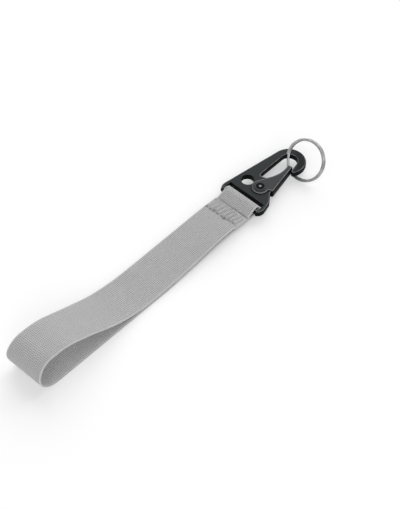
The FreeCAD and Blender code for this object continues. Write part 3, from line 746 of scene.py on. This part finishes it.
def edge_lifts(places):
    """Lifts of the near and the far edge at the given places along the strap."""
    return [eased(places, nodes, LIFT_EASE) for nodes in (NEAR_LIFT, FAR_LIFT)]


def twist(strap, line_x, line_z, across):
    """How far the worn strap leaves its plain line: (along, up) at each place of the strip."""
    far = across / strap.width + 0.5
    turn = np.argmin(line_x)
    index = np.arange(len(line_x))
    loop_end = -strap.rest_length / 2
    above = smooth(line_z, strap.loop_height / 2, strap.loop_height - strap.thickness)
    upper = np.where(line_x < loop_end, above, 1) * (index <= turn)
    lower = smooth(line_x, strap.rest_length / 2, strap.rest_length * 0.8) * (index > turn)
    share_lifted = (upper + lower)[:, None]
    near_lift, far_lift = (lift[:, None] for lift in edge_lifts(line_x))
    up = share_lifted * (near_lift + (far_lift - near_lift) * far)
    skew_start, skew_end = SKEW_FADE
    skewed = 1 - smooth(line_x, loop_end + skew_start, loop_end + skew_end)
    along = -strap.skew * far * skewed[:, None]
    return along, up


def line_mesh(line_x, line_z):
    """The strip's line as a row of edges."""
    count = len(line_x)
    order = np.arange(count)
    line = bpy.data.meshes.new("strap_line")
    line.from_pydata(
        np.column_stack([line_x, np.zeros(count), line_z]).tolist(),
        np.column_stack([order[:-1], order[1:]]).tolist(),
        [],
    )
    return line


def pale_edge(strap, stations, line_x, line_z, plain, face):
    """Share of the pale edge at each place: the selvedges, pale for their denser weave and as a painted highlight,
    and a painted highlight at the upper cut end.
    """
    inset = strap.width / 2 - np.abs(plain)
    past_loop = smooth(line_x, strap.rest_length / 4, strap.rest_length / 2)
    # The pale selvedge band, partly a painted highlight, on the outer face and past the loop.
    dense_and_highlight = 1 - smooth(inset, strap.selvedge_and_highlight * 0.3, strap.selvedge_and_highlight)
    dense_and_highlight = dense_and_highlight * np.maximum(smooth(face, -1, 0.2), past_loop)
    loop_end = smooth(line_z, strap.loop_height * 0.1, strap.loop_height * 0.5)
    # The lower layer's edge is darker: it keeps the colour of its faces, and takes the pale edge colour only high
    # in the loop's end and past these places.
    lower_pale_edge = np.maximum(loop_end, smooth(line_x, *LOWER_PALE_EDGE))
    lower_layer = np.arange(len(stations))[:, None] > np.argmin(line_x)
    dense_and_highlight = dense_and_highlight * np.where(lower_layer, lower_pale_edge, 1)
    # Painted highlight along the upper cut end, on the outer face.
    cut_end_highlight = CUT_HIGHLIGHT * (1 - smooth(stations, *CUT_EDGE))[:, None] * (face > 0.5)
    return np.maximum(dense_and_highlight, cut_end_highlight)


def tab_crease_shade(strap, stitch, stations, line_x, across, face):
    """Painted shade in the crease on the tab beside the lap's end: uneven, and darker on its near side."""
    crease_x = BAR.x - strap.tab_run + strap.crease_place
    crease_shade = np.exp(-((line_x - crease_x) / strap.crease_width) ** 2)
    crease_shade = crease_shade * (stations > stations[-1] / 2)[:, None] * (face > 0.5)
    uneven = 0.7 + 0.3 * np.cos(across / stitch.pitch * math.tau)
    return crease_shade * uneven * (0.4 + 0.6 * smooth(-across, -CREASE_REACH, CREASE_REACH))


def strap_mesh(strap, stitch, cloth):
    """The woven strip: swept along its line, then worn, with its weave, puckers and edges, and masks for its
    painted shade, painted highlight and painted light.
    """
    stations, line_x, line_z = tangent_line(strap_nodes(strap), strap.rib_pitch / RIB_STEPS)
    count = len(stations)
    half = strap.thickness / 2
    mesh = band_tree().mesh("webbing_band", {
        "Width": strap.width,
        "Thickness": strap.thickness,
        "Edge": half,
        "Points": SECTION_POINTS,
        "Rib pitch": strap.rib_pitch,
        "Rib height": strap.rib_height,
        "Cloth": cloth,
    }, line_mesh(line_x, line_z))
    points = np.empty(len(mesh.vertices) * 3)
    mesh.vertices.foreach_get("co", points)
    swept_x, plain, swept_z = np.moveaxis(points.reshape(count, SECTION_POINTS, 3), -1, 0)
    line_x, line_z = line_x[:, None], line_z[:, None]
    heading = np.arctan2(np.gradient(line_z, axis=0), np.gradient(line_x, axis=0))
    outward = (swept_x - line_x) * np.sin(heading) - (swept_z - line_z) * np.cos(heading)
    face = np.clip(outward / half, -1, 1)
    across = plain * (1 - strap.pinch * smooth(line_x, BAR.x - strap.seam_run, BAR.x))
    outer_ply = np.abs(line_z - ply_heights(strap)[1]) > half
    dent = stitch_dents(strap, stitch, line_x, across) * outer_ply * (face > OUTER_FACE)
    first_third = np.arange(count)[:, None] < count // 3
    lap = first_third * (face > OUTER_FACE)
    fold, valley_shade = (part * lap for part in seam_folds(stitch, line_x, across))
    outward = outward - dent * strap.pucker + fold * strap.fold_height
    along, up = twist(strap, line_x[:, 0], line_z[:, 0], across)
    x = line_x + np.sin(heading) * outward + along
    z = line_z - np.cos(heading) * outward + up
    mesh.vertices.foreach_set("co", np.stack([x, across, z], axis=-1).ravel())
    crease_shade = tab_crease_shade(strap, stitch, stations, line_x, across, face)
    # Mask of the pale edges: the selvedges, partly a painted highlight, and the painted highlight at the cut end.
    store(mesh, "selvedge_and_highlight", pale_edge(strap, stations, line_x, line_z, plain, face))
    # Mask of the inner face, for its painted light.
    store(mesh, "inner", face < 0)
    # Painted shade in one mask: at the stitch holes and rows, in the fold valleys and in the tab crease.
    store(mesh, "pucker", np.maximum(np.maximum(dent, valley_shade), CREASE_SHADE * crease_shade))
    lay_weave(mesh, stations, np.column_stack([plain[0], face[0] * half]))
    mesh.update()
    return mesh


def lay_weave(mesh, stations, section):
    """Weave coordinates: along the strip, and round its section."""
    ring = len(section)
    sides = np.hypot(*np.diff(section, axis=0, append=section[:1]).T)
    round_it = np.concatenate([[0], np.cumsum(sides)])
    corners = np.empty(len(mesh.loops), dtype=np.int64)
    mesh.loops.foreach_get("vertex_index", corners)
    station, place = corners // ring, corners % ring
    quads = 4 * ring * (len(stations) - 1)
    by_face = place[:quads].reshape(-1, 4)
    by_face[(by_face == 0) & (by_face.max(axis=1) == ring - 1)[:, None]] = ring
    weave = mesh.uv_layers.new(name="weave")
    places = np.column_stack([stations[station], round_it[place]])
    weave.data.foreach_set("uv", places.astype(np.float32).ravel())
    mesh.polygons.foreach_set("use_smooth", [True] * (quads // 4) + [False] * 2)


def store(mesh, name, values):
    """Keep one number for each point of a mesh."""
    attribute = mesh.attributes.new(name, "FLOAT", "POINT")
    attribute.data.foreach_set("value", np.asarray(values, dtype=np.float32).ravel())


def new_piece(name, mesh, body, slot, *nodes):
    """A finished piece: it rides on a body and stands for CAD nodes; its slot is not used."""
    piece = bpy.data.objects.new(name, mesh)
    bpy.context.scene.collection.objects.link(piece)
    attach(piece, body)
    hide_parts(*nodes)
    return piece


def paint(node, material):
    """Give a CAD node its finish."""
    mesh = frame["nodes"][node].data
    mesh.materials.clear()
    mesh.materials.append(material)


# The sewn rows
def stitch_tree():
    """A row of arched stitches, as a node tree with named sizes."""
    row = ShapeTree("stitch_row", {
        "Count": "Int",
        "First": "Vector",
        "Step": "Vector",
        "Hole": "Vector",
        "Crown": "Vector",
        "Radius": "Float",
        "Wander": "Vector",
        "Thread": "Material",
    })
    given, node = row.given, row.node
    points = node(
        "GeometryNodeMeshLine",
        {"Count": given["Count"], "Start Location": given["First"], "Offset": given["Step"]},
    )
    back = node("ShaderNodeVectorMath", {0: given["Wander"], "Scale": -1}, operation="SCALE")
    stray = node(
        "FunctionNodeRandomValue",
        {"Min": back, "Max": given["Wander"], "Seed": SEAM_SEED},
        data_type="FLOAT_VECTOR",
    )
    strayed = node("GeometryNodeSetPosition", {"Geometry": points, "Offset": stray})
    other_hole = node("ShaderNodeVectorMath", {0: given["Hole"], 1: (1, -1, 1)}, operation="MULTIPLY")
    arch = node(
        "GeometryNodeCurveQuadraticBezier",
        {"Resolution": ARCH_STEPS, "Start": given["Hole"], "Middle": given["Crown"], "End": other_hole},
    )
    section = node(
        "GeometryNodeCurvePrimitiveCircle",
        {"Resolution": THREAD_SIDES, "Radius": given["Radius"]},
    )
    stitch = node(
        "GeometryNodeCurveToMesh",
        {"Curve": arch, "Profile Curve": section, "Fill Caps": True},
    )
    sewn = node("GeometryNodeInstanceOnPoints", {"Points": strayed, "Instance": stitch})
    row.close(sewn, given["Thread"])
    return row


class KEYCLIP_OT_strap(bpy.types.Operator):
    """Weave the strap round its loop, its seam and the hook's bar"""
    bl_idname = "keyclip.strap"
    bl_label = "Webbing strap"

    def execute(self, context):
        clip = context.scene.key_clip
        mesh = strap_mesh(clip.strap, clip.stitch, webbing_finish(clip.strap))
        new_piece("webbing_band", mesh, "strap", "webbing", "webbing_strap")
        return {"FINISHED"}


class KEYCLIP_OT_stitches(bpy.types.Operator):
    """Sew the two rows, each with a thread above and one below"""
    bl_idname = "keyclip.stitches"
    bl_label = "Stitches"

    def execute(self, context):
        clip = context.scene.key_clip
        strap, stitch = clip.strap, clip.stitch
        lower, _, upper = ply_heights(strap)
        half = strap.thickness / 2
        tree = stitch_tree()
        thread = thread_finish(stitch)
        first_y = (1 - stitch.count) * stitch.pitch / 2 - (stitch.pitch - stitch.length) / 2
        for end, row_x in zip(("back", "front"), row_places()):
            near, far = edge_lifts(np.array([row_x]))
            middle_lift = (near[0] + far[0]) / 2
            slope = (far[0] - near[0]) / strap.width
            for kind, height, up in (("needle", upper + half, 1), ("bobbin", lower - half, -1)):
                mesh = tree.mesh(f"{kind}_stitches_{end}", {
                    "Count": stitch.count,
                    "First": (row_x, first_y, height + middle_lift + slope * first_y),
                    "Step": (0, stitch.pitch, slope * stitch.pitch),
                    "Hole": (0, -stitch.length / 2, -up * strap.pucker * 2),
                    "Crown": (0, 0, up * (stitch.rise - strap.pucker)),
                    "Radius": stitch.radius,
                    "Wander": (stitch.wander, stitch.wander, 0),
                    "Thread": thread,
                })
                new_piece(f"{kind}_stitches_{end}", mesh, "strap", "thread", f"{kind}_thread_{end}")
        return {"FINISHED"}


class KEYCLIP_OT_hook(bpy.types.Operator):
    """Coat the hook's plate and gate, and finish its rivet and spring"""
    bl_idname = "keyclip.hook"
    bl_label = "Snap hook"

    def execute(self, context):
        metal = context.scene.key_clip.metal
        paint("hook_plate", coating_finish(metal, "coated_plate", metal.coating))
        paint("gate", coating_finish(metal, "coated_gate", metal.gate_coating))
        paint("pivot_rivet", rivet_finish(metal))
        paint("gate_spring", steel_finish(metal, "spring_wire", SPRING_ROUGHNESS, RIVET, (0, 0, 1)))
        return {"FINISHED"}


class KEYCLIP_OT_ring(bpy.types.Operator):
    """Plate the split ring"""
    bl_idname = "keyclip.ring"
    bl_label = "Split ring"

    def execute(self, context):
        metal = context.scene.key_clip.metal
        ring = MOUNTS["key_ring"]
        finish = steel_finish(metal, "plated_ring", RING_ROUGHNESS, ring["pos_m"], ring["axis"])
        paint("split_ring", finish)
        return {"FINISHED"}


class KEYCLIP_OT_stage(bpy.types.Operator):
    """Set up the floor, the light and the camera"""
    bl_idname = "keyclip.stage"
    bl_label = "Stage"

    def execute(self, context):
        scene = context.scene
        stage = scene.key_clip.stage
        scene.view_settings.view_transform = "Standard"
        self.lay_floor(scene, stage)
        self.light(scene, stage)
        self.aim_camera(scene, stage)
        return {"FINISHED"}

    def lay_floor(self, scene, stage):
        """A pale level floor that keeps the part's shadow."""
        half = stage.floor_span / 2
        corners = [(-half, -half, 0), (half, -half, 0), (half, half, 0), (-half, half, 0)]
        mesh = bpy.data.meshes.new("floor")
        mesh.from_pydata(corners, [], [(0, 1, 2, 3)])
        material, graph = new_finish("plain_floor")
        lit = graph.node("ShaderNodeBsdfDiffuse", {"Color": opaque(stage.floor)})
        white = graph.node("ShaderNodeEmission", {"Color": (1, 1, 1, 1), "Strength": 1.0})
        seen = seen_share(graph) * stage.floor_glow
        surface = graph.node("ShaderNodeMixShader", {0: seen, 1: lit, 2: white})
        graph.node("ShaderNodeOutputMaterial", {"Surface": surface})
        mesh.materials.append(material)
        floor = bpy.data.objects.new("floor", mesh)
        scene.collection.objects.link(floor)

    def light(self, scene, stage):
        """Two wide lamps and a plain white surrounding."""
        self.hang_lamp(scene, "key_light", stage.key, stage.key_width, KEY_WAY)
        self.hang_lamp(scene, "fill_light", stage.fill, stage.fill_width, FILL_WAY)
        world = bpy.data.worlds.new("studio")
        scene.world = world
        world.use_nodes = True
        graph = Graph(world.node_tree)
        dome = stage.sky + seen_share(graph) * (stage.backdrop - stage.sky)
        glow = graph.node("ShaderNodeBackground", {"Color": (1, 1, 1, 1), "Strength": dome})
        graph.node("ShaderNodeOutputWorld", {"Surface": glow})

    def hang_lamp(self, scene, name, strength, width, way):
        """One lamp that shines the given way."""
        data = bpy.data.lights.new(name, "SUN")
        data.energy = strength
        data.angle = width
        lamp = bpy.data.objects.new(name, data)
        lamp.rotation_euler = Vector(way).to_track_quat("-Z", "Y").to_euler()
        scene.collection.objects.link(lamp)

    def aim_camera(self, scene, stage):
        """The camera, at the angle and distance of the stage's settings."""
        data = bpy.data.cameras.new("camera")
        data.sensor_width = SENSOR_WIDTH
        data.lens = stage.lens
        data.clip_start, data.clip_end = CAMERA_REACH
        camera = bpy.data.objects.new("camera", data)
        level = math.cos(stage.elevation)
        back = Vector((
            math.sin(stage.azimuth) * level,
            -math.cos(stage.azimuth) * level,
            math.sin(stage.elevation),
        ))
        camera.location = Vector((stage.target_x, stage.target_y, 0)) + back * stage.distance
        camera.rotation_euler = (-back).to_track_quat("-Z", "Y").to_euler()
        scene.collection.objects.link(camera)
        scene.camera = camera


class KEYCLIP_PT_panel(bpy.types.Panel):
    """Pieces of the key clip, with their sizes and colours"""
    bl_idname = "KEYCLIP_PT_panel"
    bl_label = "Key clip"
    bl_space_type = "VIEW_3D"
    bl_region_type = "UI"
    bl_category = "Key clip"

    def draw(self, context):
        clip = context.scene.key_clip
        groups = (clip.strap, clip.stitch, clip.metal, clip.metal, clip.stage)
        for operator, group in zip(OPERATORS, groups):
            box = self.layout.box()
            box.operator(operator.bl_idname)
            for name in group.__annotations__:
                box.prop(group, name)


OPERATORS = (KEYCLIP_OT_strap, KEYCLIP_OT_stitches, KEYCLIP_OT_hook, KEYCLIP_OT_ring, KEYCLIP_OT_stage)
CLASSES = (KeyClipStrap, KeyClipStitch, KeyClipMetal, KeyClipStage, KeyClipSettings)
CLASSES += OPERATORS + (KEYCLIP_PT_panel,)


def register():
    for item in CLASSES:
        bpy.utils.register_class(item)
    bpy.types.Scene.key_clip = bpy.props.PointerProperty(type=KeyClipSettings)


def unregister():
    del bpy.types.Scene.key_clip
    for item in reversed(CLASSES):
        bpy.utils.unregister_class(item)


def main():
    """Register the classes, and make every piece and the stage."""
    register()
    bpy.ops.keyclip.strap()
    bpy.ops.keyclip.stitches()
    bpy.ops.keyclip.hook()
    bpy.ops.keyclip.ring()
    bpy.ops.keyclip.stage()


if __name__ == "__main__":
    main()
